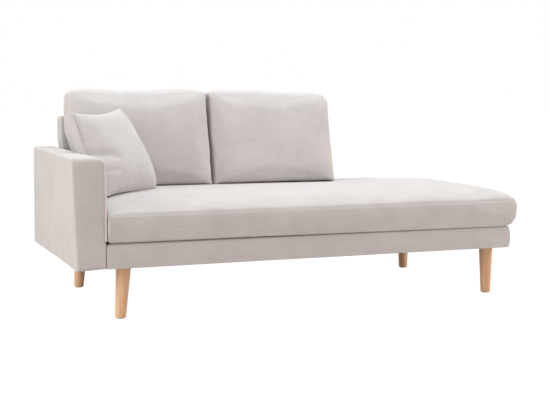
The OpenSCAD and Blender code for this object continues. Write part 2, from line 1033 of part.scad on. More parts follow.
seat_core_points = within(seat_points(), seat_middle, seat_half, fabric);

// The seat cushion is cut out round the backrest panel
module seat_notch(spare) {
    box(
        [0, panel_y0 - panel_gap - spare, seat_z - cut],
        [panel_x1 + panel_gap + spare, frame_depth + cut, seat_top + cut]
    );
}

module seat_core() {
    difference() {
        cushion_solid(seat_core_points);
        seat_notch(fabric);
    }
}

module seat_zip_body() {
    x0 = panel_x1 + panel_gap + seat_zip_margin;
    x1 = frame_length + seat_overhang - seat_corner_radius - seat_zip_margin;
    y = frame_depth - seat_side_inset + zip_proud;
    z = seat_z + seat_border / 2;
    box([x0, y - zip_depth, z], [x1, y, z + zip_width]);
}

module seat_cushion_cover() {
    color(linen)
        difference() {
            cushion_solid(seat_points());
            seat_notch(0);
            seat_core();
            seat_zip_body();
        }
}

module seat_cushion_foam() {
    color(foam_cream)
        difference() {
            seat_core();
            seat_zip_body();
        }
}

module seat_cushion_zip() {
    color(linen_shade) seat_zip_body();
}

// Back cushions

function back_cushion_half(width) = [
    width / 2,
    cushion_height / 2,
    border_half + (cushion_front_crown + cushion_rear_crown) / 2
];

// A back cushion stands upright with its front toward -Y and is sheared to its rake
function raked(p, x) =
    let (z = cushion_z + cushion_height / 2 + p[1])
    [x + p[0], cushion_y_at_panel_top + (z - panel_top) * cushion_shear - p[2], z];

function back_cushion_local(width) = cushion_points(
    [width / 2, cushion_height / 2], cushion_corner_radius, border_outline, cushion_face_insets,
    cushion_rear_crown, cushion_front_crown, cushion_crown_reach, 0
);

module back_cushion_outer(width, x) {
    cushion_solid([for (p = back_cushion_local(width)) raked(p, x)]);
}

module back_cushion_core(width, x) {
    middle = [0, 0, (cushion_front_crown - cushion_rear_crown) / 2];
    inner = within(back_cushion_local(width), middle, back_cushion_half(width), fabric);
    cushion_solid([for (p = inner) raked(p, x)]);
}

module back_cushion_zip(x) {
    y = cushion_y_at_panel_top + (cushion_z - panel_top) * cushion_shear;
    recess = 0.5;
    box(
        [x - cushion_zip_length / 2, y - zip_width / 2, cushion_z + recess],
        [x + cushion_zip_length / 2, y + zip_width / 2, cushion_z + recess + zip_depth]
    );
}

module back_cushion_cover(width, x) {
    color(linen)
        difference() {
            back_cushion_outer(width, x);
            back_cushion_core(width, x);
            back_cushion_zip_space(x);
        }
}

// The zip and the slit below it
module back_cushion_zip_space(x) {
    back_cushion_zip(x);
    translate([0, 0, -cut]) back_cushion_zip(x);
}

module back_cushion_filling(width, x) {
    color(wadding_white)
        difference() {
            back_cushion_core(width, x);
            back_cushion_zip(x);
        }
}

module left_cushion_cover() {
    back_cushion_cover(left_cushion_width, left_cushion_x);
}

module left_cushion_filling() {
    back_cushion_filling(left_cushion_width, left_cushion_x);
}

module left_cushion_zip() {
    color(linen_shade) back_cushion_zip(left_cushion_x);
}

module right_cushion_cover() {
    back_cushion_cover(right_cushion_width, right_cushion_x);
}

module right_cushion_filling() {
    back_cushion_filling(right_cushion_width, right_cushion_x);
}

module right_cushion_zip() {
    color(linen_shade) back_cushion_zip(right_cushion_x);
}

// Throw pillow

pillow_points = cushion_points(
    pillow_half, pillow_corner_radius, pillow_outline, pillow_face_insets,
    pillow_crown, pillow_crown, pillow_crown_reach, pillow_draw_in
);
pillow_core_points = within(pillow_points, [0, 0, 0], pillow_half, fabric);

module at_pillow() {
    translate(pillow_middle) rotate([0, 0, pillow_turn]) rotate([90 - pillow_lean, 0, 0]) children();
}

module pillow_zip() {
    y = pillow_draw_in - pillow_half[1];
    translate([-pillow_zip_length / 2, y - zip_proud, -zip_depth / 2])
        cube([pillow_zip_length, zip_width, zip_depth]);
}

module throw_pillow_cover() {
    color(linen)
        at_pillow()
            difference() {
                cushion_solid(pillow_points);
                cushion_solid(pillow_core_points);
                pillow_zip();
            }
}

module throw_pillow_filling() {
    color(wadding_white)
        at_pillow()
            difference() {
                cushion_solid(pillow_core_points);
                pillow_zip();
            }
}

module throw_pillow_zip() {
    color(linen_shade) at_pillow() pillow_zip();
}

// The origin lies on the floor, under the middle of the whole sofa
module placed() {
    translate([-(frame_length + seat_overhang - arm_lean_front) / 2, -frame_depth / 2, 0]) children();
}

placed() base_front_rail();
placed() base_rear_rail();
placed() base_left_rail();
placed() base_right_rail();
placed() base_cross_rails();
placed() corner_blocks();
placed() seat_webbing();
placed() deck_felt();
placed() base_wadding();
placed() base_cover();
placed() dust_cover();
placed() leg_plates();
placed() leg_plate_screws();
placed() leg_studs();
placed() leg_front_left();
placed() leg_front_right();
placed() leg_rear_left();
placed() leg_rear_right();
placed() leg_glides();
placed() arm_front_post();
placed() arm_centre_post();
placed() arm_rear_post();
placed() arm_top_rail();
placed() arm_bottom_rails();
placed() arm_inner_board();
placed() arm_outer_board();
placed() arm_foam();
placed() arm_cover();
placed() arm_bolts();
placed() arm_tee_nuts();
placed() back_left_post();
placed() back_centre_post();
placed() back_right_post();
placed() back_top_rail();
placed() back_rear_board();
placed() back_webbing();
placed() back_foam();
placed() back_cover();
placed() back_bolts();
placed() back_tee_nuts();
placed() seat_cushion_cover();
placed() seat_cushion_foam();
placed() seat_cushion_zip();
placed() left_cushion_cover();
placed() left_cushion_filling();
placed() left_cushion_zip();
placed() right_cushion_cover();
placed() right_cushion_filling();
placed() right_cushion_zip();
placed() throw_pillow_cover();
placed() throw_pillow_filling();
placed() throw_pillow_zip();
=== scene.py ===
"""The looks of a meridienne: its upholstery, cushions, throw pillow and wooden legs.

Each soft piece is a closed grid of cells over the place that its solid holds in the frame. A piece
has its own axes: a runs across, b up or back, and c out of the face that shows. Sizes are in metres.
A wall's outline is a list of pairs: a place along c, and how far the wall lies inside the edge there.
"""

import json
import math

import bpy
import numpy as np
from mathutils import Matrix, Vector, noise
from mathutils.bvhtree import BVHTree

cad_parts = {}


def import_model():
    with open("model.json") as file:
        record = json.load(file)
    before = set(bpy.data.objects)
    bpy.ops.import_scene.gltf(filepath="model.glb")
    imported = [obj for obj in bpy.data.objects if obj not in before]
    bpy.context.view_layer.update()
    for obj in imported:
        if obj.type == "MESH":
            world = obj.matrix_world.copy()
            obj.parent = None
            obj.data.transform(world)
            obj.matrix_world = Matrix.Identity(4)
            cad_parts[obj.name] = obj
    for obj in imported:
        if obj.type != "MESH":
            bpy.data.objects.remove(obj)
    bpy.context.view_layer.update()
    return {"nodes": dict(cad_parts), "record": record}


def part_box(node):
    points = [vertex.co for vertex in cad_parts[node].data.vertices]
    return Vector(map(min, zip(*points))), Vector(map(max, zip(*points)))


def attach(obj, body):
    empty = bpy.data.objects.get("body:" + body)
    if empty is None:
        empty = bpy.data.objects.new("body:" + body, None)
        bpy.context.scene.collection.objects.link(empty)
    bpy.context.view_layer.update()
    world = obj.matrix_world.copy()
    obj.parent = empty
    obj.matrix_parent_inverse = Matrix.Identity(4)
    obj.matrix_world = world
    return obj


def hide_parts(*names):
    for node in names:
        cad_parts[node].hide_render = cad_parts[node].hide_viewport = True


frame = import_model()

# Seat cushion
PANEL_GAP = 0.002
SEAT_CELL = 0.012
SEAT_BORDER = 0.102
SEAT_LOW_SEAM = 0.0115
SEAT_TOP_DROP = 0.004
SEAT_CLEARANCE = 0.0004
SEAT_WALL = [
    (0, 0.022), (0.0008, 0.012), (0.0020, 0.0066), (0.0040, 0.0040), (0.0070, 0.0026),
    (SEAT_LOW_SEAM, 0.0020), (0.020, 0.0014), (0.034, 0.0007), (0.048, 0.0002), (0.062, 0),
    (0.076, 0.0004), (0.087, 0.0012), (0.094, 0.0022), (0.0985, 0.0032), (SEAT_BORDER, 0.0042)]

# The seat cushion's right end: it swells, its foot is undercut, and its seam falls towards it
END_SWELL = 0.002
UNDERCUT_DEPTH = 0.036
UNDERCUT_HEIGHT = 0.034
UNDERCUT_LENGTH = 0.06
SEAM_FALL = 0.006
SEAM_FALL_LENGTH = 0.16

# Its top's rear: what rises and falls beside the backrest, and how deep the back cushions press it
REAR_DEPTH = 0.30
REAR_RISE = 0.0020
REAR_FALL = 0.0100
PRESSED_LEFT = 0.0024
PRESSED_MORE_RIGHT = 0.0042

# Its front: how far it comes forward, and how far its lower edge hangs at and beside the middle
FRONT_FORWARD = 0.012
FRONT_DEPTH = 0.05
LIP_HEIGHT = 0.030
HANG_MIDDLE = 0.0075
HANG_SLOPE = 0.0092

# Back cushions. Inward is the direction of the other one along a.
CUSHION_RAKE = math.radians(12.6)
CUSHION_CELL = 0.0105
CUSHION_BORDER = 0.050
CUSHION_WALL_SEAM = 0.023
CUSHION_REAR_GAP = 0.001
CUSHION_CLEARANCE = 0.0005
CUSHION_CORNER = 0.008
CUSHION_CROWN_REAR = 0.012
CUSHION_CROWN_FRONT = 0.040
CUSHION_BULGE = 0.0035
CUSHION_FOOT_SINK = 0.011
WALL_SEAM_DEPTH = 0.0032
MEETING_FRONT = 0.088
TUCK_BACK = 0.012
TUCK_IN = 0.022
RIGHT_END_OUT = 0.003
CUSHION_WALL = [
    (-CUSHION_BORDER, 0.012), (-0.045, 0.0095), (-0.040, 0.008), (-0.030, 0.0055), (-0.015, 0.003),
    (0, 0.0015), (0.013, 0.0006), (0.0195, 0.0004), (CUSHION_WALL_SEAM, 0.0003), (0.0265, 0.0002),
    (0.032, 0.0001), (0.040, 0), (0.0455, 0.0002), (0.0485, 0.0006), (CUSHION_BORDER, 0.0014)]
CUSHIONS = {
    "left": {"inward": 1, "top_radii": (0.030, 0.020), "inner_reach": 0.016, "forward": 0.40, "seed": 5},
    "right": {"inward": -1, "top_radii": (0.020, 0.052), "inner_reach": 0.060, "forward": 0.24, "seed": 8},
}

# Throw pillow. Each fold has a start, an end, a width and a height, which is negative for a hollow.
PILLOW_TURN = math.radians(43)
PILLOW_LEAN = math.radians(30)
PILLOW_HALF = 0.183
PILLOW_CELL = 0.0072
PILLOW_CROWN = 0.066
PILLOW_SEAM_HALF = 0.0022
PILLOW_CLEARANCE = 0.0008
PILLOW_ARM_CLEARANCE = 0.0035
PILLOW_DRAW_IN = 0.011
PILLOW_UNEVENNESS = 0.0016
TOP_CORNER_UP = 0.011
TOP_CORNER_OUT = 0.006
TOP_SAG = 0.006
LEFT_EDGE_OUT = 0.070
LEFT_EDGE_BACK = 0.016
LEFT_CORNER_FORWARD = 0.009
RIGHT_EDGE_OUT = 0.020
RIGHT_EDGE_FORWARD = 0.020
FOOT_SINK = 0.010
FOOT_SINK_MIDDLE = 0.005
PILLOW_WALL = [
    (-PILLOW_SEAM_HALF, 0.0014), (-0.0009, 0.0003), (0, 0), (0.0009, 0.0003), (PILLOW_SEAM_HALF, 0.0014)]
PILLOW_FOLDS = [
    ((-0.1705, 0.235), (-0.1670, -0.085), 0.0062, -0.0190),
    ((-0.150, 0.200), (-0.138, -0.090), 0.0200, -0.0110),
    ((-0.225, 0.020), (-0.060, -0.068), 0.0170, -0.0140),
    ((-0.215, -0.085), (-0.075, -0.120), 0.0070, -0.0060),
]

# Arm, base and backrest
ARM_WIDTH = 0.108
ARM_CELL = 0.010
ARM_LEAN_FRONT = 0.016
ARM_FOOT_BACK = 0.005
ARM_FRONT_ROLL = 0.023
ARM_CORNER_RADIUS = 0.030
ARM_FRONT_OUT = 0.006
ARM_FOOT_DROOP = 0.006
ARM_REAR_RISE = 0.003
ARM_SEAM_DEPTH = 0.0018
ARM_SEAM_PLACE = 0.012
BASE_LIP = 0.030
DUST_CLOTH_RECESS = 0.0035
BASE_END_BULGE = 0.009
BASE_END_LENGTH = 0.10
BASE_FRONT_BACK = 0.0044
PANEL_CELL = 0.014
PANEL_CORNER = 0.012
PANEL_OVER_ARM_OUT = 0.005
PANEL_OVER_ARM_RISE = 0.006

# The cord that stands up along a folded seam
WELT_RADIUS = 0.0048
WELT_STEP = 0.004
WELT_SIDES = 8
STITCH_LENGTH = 0.016
STITCH_SWELL = 0.16

# A pressed seam: its groove, and the roll a little beside it
GROOVE_WIDTH = 0.0016
ROLL_PLACE = 0.005
ROLL_WIDTH = 0.003
ROLL_SHARE = 0.35

# Distances from an edge at which a face has closely spaced lines
SEAM_LINES = [0, 0.0022, 0.005, 0.010, 0.018]
PILLOW_LINES = [0, 0.003, 0.007, 0.013]
BASE_LINES = [0, 0.004, 0.012, 0.020, BASE_LIP, BASE_LIP + 0.002]

# How far a point looks for a neighbour's surface
SEARCH_REACH = 0.08

# The cloth simulation that fills a cushion, and the bags that it fills
INFLATE_FRAMES = 20
CLOTH_QUALITY = 6
CLOTH_STIFFNESS = 15.0
CLOTH_BENDING = 0.3
SEAT_BAG = {"pressure": 1.5, "cap": 0.006, "slack": 0.004}
CUSHION_BAG = {"pressure": 2.0, "cap": 0.007, "slack": 0.004}
PILLOW_BAG = {"pressure": 3.5, "cap": 0.006, "slack": 0.005}

# Thread spacing of the fabric's weave
THREAD = 0.0016

# Looks of the woods: name, dark and light tone, grain scale on each axis, roughness
WOODS = {
    "leg_wood": ("oiled_oak", (0.72, 0.40, 0.21), (0.93, 0.63, 0.39), (70, 70, 4), 0.45),
    "frame_timber": ("pine", (0.60, 0.42, 0.22), (0.78, 0.60, 0.36), (8, 80, 80), 0.7),
}
LEG_EDGE = 0.0025

# Looks of the other materials inside: dark and light tone, grain scale, roughness, metallic
PLAIN_FINISHES = {
    "hardboard": ((0.22, 0.12, 0.06), (0.32, 0.19, 0.10), 300, 0.7, 0.0),
    "foam": ((0.80, 0.74, 0.55), (0.90, 0.85, 0.68), 400, 0.95, 0.0),
    "wadding": ((0.82, 0.82, 0.80), (0.92, 0.92, 0.90), 120, 0.95, 0.0),
    "felt": ((0.22, 0.22, 0.22), (0.36, 0.36, 0.36), 500, 0.95, 0.0),
    "webbing": ((0.02, 0.02, 0.025), (0.05, 0.05, 0.06), 300, 0.8, 0.0),
    "dust_cloth": ((0.018, 0.018, 0.02), (0.04, 0.04, 0.045), 350, 0.9, 0.0),
    "plated_steel": ((0.50, 0.50, 0.52), (0.62, 0.62, 0.63), 60, 0.35, 1.0),
    "nylon": ((0.07, 0.06, 0.055), (0.10, 0.09, 0.08), 200, 0.55, 0.0),
    "zip_tape": ((0.58, 0.54, 0.51), (0.68, 0.64, 0.61), 400, 0.7, 0.0),
}

# Stage
FLOOR_REACH = 40
FLOOR_COLOUR = (0.62, 0.565, 0.54, 1)
FLOOR_GLOW = (1.16, 1.16, 1.16, 1)
FLOOR_GLOW_SHARE = 0.86
FILL_COLOUR = (1.0, 0.842, 0.802, 1)
FILL_STRENGTH = 0.53
FOCAL_LENGTH = 76.86
CAMERA_PLACE = (-1.8068, -4.6929, 0.8604)
CAMERA_TILT = math.radians(90 - 5.62)
CAMERA_TURN = math.radians(-21.27)


# Rules that run along a length

def ramp(value, start=0, end=1):
    """Runs evenly from 0 at the start to 1 at the end."""
    return np.clip((value - start) / (end - start), 0, 1)


def ease(value, start, end):
    """Runs smoothly from 0 at the start to 1 at the end."""
    t = ramp(value, start, end)
    return t * t * (3 - 2 * t)


def bump(distance, width):
    """A smooth bump, one at no distance."""
    return np.exp(-((distance / width) ** 2))


def fold(p, start, end, width, height):
    """A ridge, or a valley where height is negative, from start to end on a plane. It fades at its ends."""
    start, end = np.array(start), np.array(end)
    along = end - start
    length = np.linalg.norm(along)
    t = (p - start) @ along / length**2
    across = np.abs((p - start) @ np.array([-along[1], along[0]]) / length)
    fade = np.clip(1 - (2 * t - 1) ** 2, 0, 1) ** 1.5
    return height * fade * bump(across, width)


def waviness(points, scale, seed):
    """Soft uneven swelling between about -1 and 1. scale has a wavelength for each axis."""
    offset = Vector((17.3 * seed, 5.1 * seed, 2.7 * seed))
    spread = points / np.array(scale)
    return np.array([noise.fractal(Vector(p) + offset, 1.0, 2.0, 3) for p in spread])


# Grids

def lines(half, cell, near, extra):
    """Positions from -half to half: close beside both ends, evenly spaced between, and the extra ones."""
    near = np.array(near)
    count = max(round(2 * (half - near[-1]) / cell), 2)
    middle = np.linspace(near[-1] - half, half - near[-1], count + 1)
    for place in extra:
        middle = middle[np.abs(middle - place) > 0.35 * cell]
    return np.sort(np.concatenate([near[:-1] - half, middle, half - near[:-1], list(extra)]))


def block_of_cells(count_a, count_b, levels, keep):
    """Grid keys (i, j, k) and quads of a closed block: both faces, and walls where the kept cells end."""
    index, keys, quads = {}, [], []

    def vertex(i, j, k):
        if (i, j, k) not in index:
            index[i, j, k] = len(keys)
            keys.append((i, j, k))
        return index[i, j, k]

    def wall(start, end):
        for k in range(levels):
            low, high = (*start, k), (*end, k)
            quads.append([vertex(*low), vertex(*high), vertex(*end, k + 1), vertex(*start, k + 1)])

    for i in range(count_a):
        for j in range(count_b):
            if not keep(i, j):
                continue
            ring = [(i, j), (i + 1, j), (i + 1, j + 1), (i, j + 1)]
            quads.append([vertex(*p, levels) for p in ring])
            quads.append([vertex(*p, 0) for p in reversed(ring)])
            for side, (step_a, step_b) in enumerate([(0, -1), (1, 0), (0, 1), (-1, 0)]):
                if not keep(i + step_a, j + step_b):
                    wall(ring[side], ring[(side + 1) % 4])
    return np.array(keys), quads


class Block:
    """A soft block before it is a mesh: its grid, its points and its edges."""

    def __init__(self, half, cell, profile, near=SEAM_LINES, extra_a=(), extra_b=(), hole=None):
        self.half = np.array(half, float)
        self.profile = np.array(profile, float)
        a_lines = lines(half[0], cell, near, extra_a)
        b_lines = lines(half[1], cell, near, extra_b)
        mid_a = (a_lines[1:] + a_lines[:-1]) / 2
        mid_b = (b_lines[1:] + b_lines[:-1]) / 2

        def keep(i, j):
            inside = 0 <= i < len(mid_a) and 0 <= j < len(mid_b)
            return inside and not (hole and hole(mid_a[i], mid_b[j]))

        top = len(self.profile) - 1
        keys, self.quads = block_of_cells(len(mid_a), len(mid_b), top, keep)
        self.a = a_lines[keys[:, 0]]
        self.b = b_lines[keys[:, 1]]
        self.level = keys[:, 2]
        self.on_top = self.level == top
        self.on_bottom = self.level == 0
        self.c = self.profile[self.level, 0]
        self.inset = self.profile[self.level, 1]

    def shape(self, radii, crown_low=0.0, crown_high=0.0, reach=(0.06, 0.06), roundness=0.6, draw_in=0.0):
        """Places the points. radii are the plan's corner radii: at low b, then high b, low a first."""
        share = self.crown_share(*reach, roundness)
        c = self.c + np.where(self.on_top, crown_high * share, 0)
        c = c - np.where(self.on_bottom, crown_low * share, 0)
        inner = self.half[None, :] - self.inset[:, None]
        plan = np.stack([self.a, self.b], 1) * inner / self.half
        radius = np.array(radii)[2 * (self.b > 0) + (self.a > 0)]
        plan = rounded(plan, inner, np.maximum(radius - self.inset, 0.004))
        unit = plan / self.half
        plan = plan * (1 - draw_in / self.half * (1 - unit[:, ::-1] ** 2))
        self.points = np.column_stack([plan, c])

    def crown_share(self, reach_a, reach_b, roundness):
        """Share of the crown's rise: none at the edges, one in the middle. It starts steeply."""
        round_a, round_b = roundness if isinstance(roundness, tuple) else (roundness, roundness)
        rise_a = 1 - np.exp(-(self.half[0] - np.abs(self.a)) / reach_a)
        rise_b = 1 - np.exp(-(self.half[1] - np.abs(self.b)) / reach_b)
        return np.maximum(rise_a, 0) ** round_a * np.maximum(rise_b, 0) ** round_b

    def inflate(self, held, pressure, cap, slack):
        """Fills the block with air as a cloth bag. Held points stay, and none moves further than the cap."""
        mesh = bpy.data.meshes.new("bag")
        mesh.from_pydata([tuple(p) for p in self.points], [], self.quads)
        bag = bpy.data.objects.new("bag", mesh)
        bpy.context.scene.collection.objects.link(bag)
        bag.vertex_groups.new(name="held").add([int(i) for i in np.flatnonzero(held)], 1.0, "REPLACE")
        add_cloth(bag, pressure, slack)
        moved = settled_places(bag) - self.points
        bpy.data.objects.remove(bag)
        bpy.data.meshes.remove(mesh)
        length = np.maximum(np.linalg.norm(moved, axis=1, keepdims=True), 1e-9)
        self.points = self.points + moved / length * cap * np.tanh(length / cap)

    def press(self, offset):
        """Moves the points along their normals."""
        self.points = self.points + normals_of(self.points, self.quads) * offset[:, None]

    def edge_distance(self):
        """Distance from the face's nearest edge, along the plan."""
        return np.minimum(self.half[0] - np.abs(self.a), self.half[1] - np.abs(self.b))

    def cloth_coordinates(self):
        """Where each corner of each quad lies on its flat piece of fabric, in metres."""
        heights = np.concatenate([[0], np.cumsum(np.hypot(*np.diff(self.profile, axis=0).T))])
        coordinates = []
        for quad in self.quads:
            levels = self.level[quad]
            if levels.min() == levels.max():
                coordinates.extend(zip(self.a[quad], self.b[quad]))
            elif np.ptp(self.a[quad]) > np.ptp(self.b[quad]):
                coordinates.extend(zip(self.a[quad], heights[levels]))
            else:
                coordinates.extend(zip(self.b[quad], heights[levels]))
        return np.array(coordinates)


def add_cloth(bag, pressure, slack):
    """Makes a bag a weightless cloth with pressure inside, a little larger by its slack."""
    cloth = bag.modifiers.new("cloth", "CLOTH")
    cloth.collision_settings.use_collision = False
    cloth.point_cache.frame_start, cloth.point_cache.frame_end = 1, INFLATE_FRAMES
    settings = cloth.settings
    settings.vertex_group_mass = "held"
    settings.quality = CLOTH_QUALITY
    settings.tension_stiffness = settings.compression_stiffness = CLOTH_STIFFNESS
    settings.bending_stiffness = CLOTH_BENDING
    settings.shrink_min = -slack
    settings.use_pressure = True
    settings.uniform_pressure_force = pressure
    settings.effector_weights.gravity = 0


def settled_places(bag):
    """Runs the simulation, and returns where it leaves the bag's points."""
    scene = bpy.context.scene
    for step in range(1, INFLATE_FRAMES + 1):
        scene.frame_set(step)
    shown = bag.evaluated_get(bpy.context.evaluated_depsgraph_get())
    places = np.array([v.co[:] for v in shown.data.vertices])
    scene.frame_set(1)
    return places


def rounded(plan, inner, radius):
    """Plan points of a rectangle drawn onto one with round corners."""
    radius = radius[:, None]
    past = np.abs(plan) - (inner - radius)
    corner = (past > 0).all(1)
    scale = past.max(1) / np.maximum(np.hypot(*past.T), 1e-9)
    bent = np.sign(plan) * (inner - radius + past * scale[:, None])
    return np.where(corner[:, None], bent, plan)


def arc_profile(low, high, low_radius, high_radius, step):
    """A wall's outline from low to high c, with round edges."""
    angles = np.linspace(0, math.pi / 2, 5)
    start = [(low + low_radius * (1 - math.cos(t)), low_radius * (1 - math.sin(t))) for t in angles]
    end = [(high - high_radius * (1 - math.cos(t)), high_radius * (1 - math.sin(t))) for t in angles[::-1]]
    count = max(round((end[0][0] - start[-1][0]) / step), 1)
    between = np.linspace(start[-1][0], end[0][0], count + 1)[1:-1]
    return start + [(c, 0.0) for c in between] + end


def normals_of(points, quads):
    """Unit normals at the points of a mesh of quads."""
    corners = points[np.array(quads)]
    face = np.cross(corners[:, 2] - corners[:, 0], corners[:, 3] - corners[:, 1])
    total = np.zeros_like(points)
    for k in range(4):
        np.add.at(total, np.array(quads)[:, k], face)
    return total / np.maximum(np.linalg.norm(total, axis=1, keepdims=True), 1e-12)


def ripple(block, depth, scale, seed):
    """Makes the block's faces softly uneven."""
    block.press(depth * waviness(block.points, scale, seed))


def seam_groove(block, distance, depth):
    """Presses a seam in where the distance from it is none, with a slight roll beside it."""
    groove = depth * bump(distance, GROOVE_WIDTH)
    roll = ROLL_SHARE * depth * bump(distance - ROLL_PLACE, ROLL_WIDTH)
    block.press(roll - groove)


def top_seam(block, border, depth, evenness, wavelength, seed):
    """Presses in the seam round the top face, deeper in some places than in others."""
    flat = block.points * [1, 1, 0]
    strength = evenness + (1 - evenness) * waviness(flat, (wavelength, wavelength, 1), seed)
    distance = np.where(block.on_top, block.edge_distance(), border - block.c)
    seam_groove(block, distance, depth * strength)


# Meshes

def add_mesh(name, points, faces, coordinates, material):
    """A smooth mesh object. Its layer cloth says where its corners lie on the fabric."""
    mesh = bpy.data.meshes.new(name)
    mesh.from_pydata([tuple(p) for p in points], [], faces)
    mesh.uv_layers.new(name="cloth").data.foreach_set("uv", np.array(coordinates).ravel())
    mesh.polygons.foreach_set("use_smooth", [True] * len(mesh.polygons))
    mesh.materials.append(material)
    mesh.update()
    piece = bpy.data.objects.new(name, mesh)
    bpy.context.scene.collection.objects.link(piece)
    return piece


def build(name, block, body, nodes, material):
    """Makes the block's mesh object, subdivided once, riding on its body in place of its nodes."""
    piece = add_mesh(name, block.points, block.quads, block.cloth_coordinates(), material)
    smooth = piece.modifiers.new("smooth", "SUBSURF")
    smooth.levels = smooth.render_levels = 1
    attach(piece, body)
    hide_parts(*nodes)
    return piece


def centre_and_half(name):
    """Middle and half size of a node's box, as arrays."""
    low, high = (np.array(corner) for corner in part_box(name))
    return (low + high) / 2, (high - low) / 2


def surface(piece):
    """A search tree over a piece's faces."""
    mesh = piece.data
    return BVHTree.FromPolygons([v.co for v in mesh.vertices], [tuple(p.vertices) for p in mesh.polygons])


def keep_clear(points, neighbours, gap):
    """Moves points that are in a neighbour, or nearer to it than the gap, out to the gap."""
    for tree in neighbours:
        for k, point in enumerate(points):
            spot, normal, _, _ = tree.find_nearest(Vector(point), SEARCH_REACH)
            if spot is None:
                continue
            out = (Vector(point) - spot).dot(normal)
            if out < gap:
                points[k] = spot + normal * gap
    return points


# Materials

def new_material(name):
    """A material with its node tree and its Principled shader."""
    material = bpy.data.materials.new(name)
    material.use_nodes = True
    return material, material.node_tree, material.node_tree.nodes["Principled BSDF"]


def node(tree, kind, **values):
    """A shader node with some of its properties and inputs set."""
    made = tree.nodes.new("ShaderNode" + kind)
    for key, value in values.items():
        if key in made.inputs.keys():
            made.inputs[key].default_value = value
        else:
            setattr(made, key, value)
    return made


def math_node(tree, operation, first, second=None, third=None):
    """The output of a Math node over sockets or numbers."""
    made = node(tree, "Math", operation=operation)
    for k, value in enumerate([first, second, third]):
        if isinstance(value, bpy.types.NodeSocket):
            tree.links.new(value, made.inputs[k])
        elif value is not None:
            made.inputs[k].default_value = value
    return made.outputs[0]


def stretched_noise(tree, vector, scale, detail, roughness):
    """Noise over a vector that is scaled by an amount for each axis."""
    mapping = node(tree, "Mapping", vector_type="POINT")
    mapping.inputs["Scale"].default_value = scale
    tree.links.new(vector, mapping.inputs["Vector"])
    texture = node(tree, "TexNoise", Scale=1.0, Detail=detail, Roughness=roughness)
    tree.links.new(mapping.outputs[0], texture.inputs["Vector"])
    return texture.outputs["Fac"]


def share_between(tree, value, low, high):
    """How far a value lies from low to high."""
    spread = node(tree, "MapRange")
    spread.inputs["From Min"].default_value = low
    spread.inputs["From Max"].default_value = high
    tree.links.new(value, spread.inputs["Value"])
    return spread.outputs[0]


def colour_between(tree, factor, dark, light):
    """A colour between two, by a factor."""
    mix = node(tree, "Mix", data_type="RGBA")
    mix.inputs[6].default_value = (*dark, 1)
    mix.inputs[7].default_value = (*light, 1)
    tree.links.new(factor, mix.inputs[0])
    return mix.outputs[2]


def finish_surface(tree, shader, colour, height, strength, depth, roughness):
    """Gives a shader its colour, a fine relief and its roughness."""
    tree.links.new(colour, shader.inputs["Base Color"])
    relief = node(tree, "Bump", Strength=strength, Distance=depth)
    tree.links.new(height, relief.inputs["Height"])
    tree.links.new(relief.outputs[0], shader.inputs["Normal"])
    shader.inputs["Roughness"].default_value = roughness


def woven(tree, uv):
    """A plain weave over the fabric's coordinates: the product of its two threads' waves."""
    parts = node(tree, "SeparateXYZ")
    tree.links.new(uv, parts.inputs[0])
    turn = 2 * math.pi / THREAD
    warp = math_node(tree, "SINE", math_node(tree, "MULTIPLY", parts.outputs[0], turn))
    weft = math_node(tree, "SINE", math_node(tree, "MULTIPLY", parts.outputs[1], turn))
    return math_node(tree, "MULTIPLY", warp, weft)


def slubbed(tree, uv):
    """Thick places of the yarn: short ones along both threads, and long ones along one."""
    weft_slub = stretched_noise(tree, uv, (22, 520, 1), 3.0, 0.6)
    warp_slub = stretched_noise(tree, uv, (560, 26, 1), 2.0, 0.6)
    long_slub = stretched_noise(tree, uv, (7, 150, 1), 3.0, 0.6)
    slubs = math_node(tree, "MULTIPLY_ADD", warp_slub, 0.40, math_node(tree, "MULTIPLY", weft_slub, 0.6))
    return math_node(tree, "MULTIPLY_ADD", long_slub, 0.45, slubs)


def linen(name, dark, light):
    """A matt woven fabric: plain weave, slubs along its threads, and slight unevenness of tone."""
    material, tree, shader = new_material(name)
    uv = node(tree, "UVMap", uv_map="cloth").outputs[0]
    place = node(tree, "TexCoord").outputs["Object"]
    weave = woven(tree, uv)
    slubs = slubbed(tree, uv)
    patches = stretched_noise(tree, place, (9, 9, 9), 3.0, 0.55)
    tone = math_node(tree, "MULTIPLY_ADD", patches, 0.55, slubs)
    tone = math_node(tree, "MULTIPLY_ADD", weave, 0.05, tone)
    colour = colour_between(tree, share_between(tree, tone, 0.76, 1.24), dark, light)
    height = math_node(tree, "MULTIPLY_ADD", weave, 0.35, slubs)
    finish_surface(tree, shader, colour, height, strength=0.35, depth=0.0006, roughness=0.92)
    shader.inputs["Specular IOR Level"].default_value = 0.25
    shader.inputs["Sheen Weight"].default_value = 0.18
    shader.inputs["Sheen Roughness"].default_value = 0.5
    return material


def wood(name, dark, light, grain, roughness):
    """Straight-grained wood. grain is the noise scale on each axis, small along the fibres."""
    material, tree, shader = new_material(name)
    place = node(tree, "TexCoord").outputs["Object"]
    fibres = stretched_noise(tree, place, grain, 4.0, 0.65)
    bands = stretched_noise(tree, place, [g * 0.22 for g in grain], 2.0, 0.5)
    pores = stretched_noise(tree, place, [g * 3.5 for g in grain], 1.0, 0.5)
    tone = math_node(tree, "MULTIPLY_ADD", bands, 0.6, math_node(tree, "MULTIPLY", fibres, 0.5))
    colour = colour_between(tree, share_between(tree, tone, 0.40, 0.70), dark, light)
    height = math_node(tree, "MULTIPLY_ADD", pores, 0.5, fibres)
    finish_surface(tree, shader, colour, height, strength=0.25, depth=0.0004, roughness=roughness)
    shader.inputs["Specular IOR Level"].default_value = 0.4
    return material


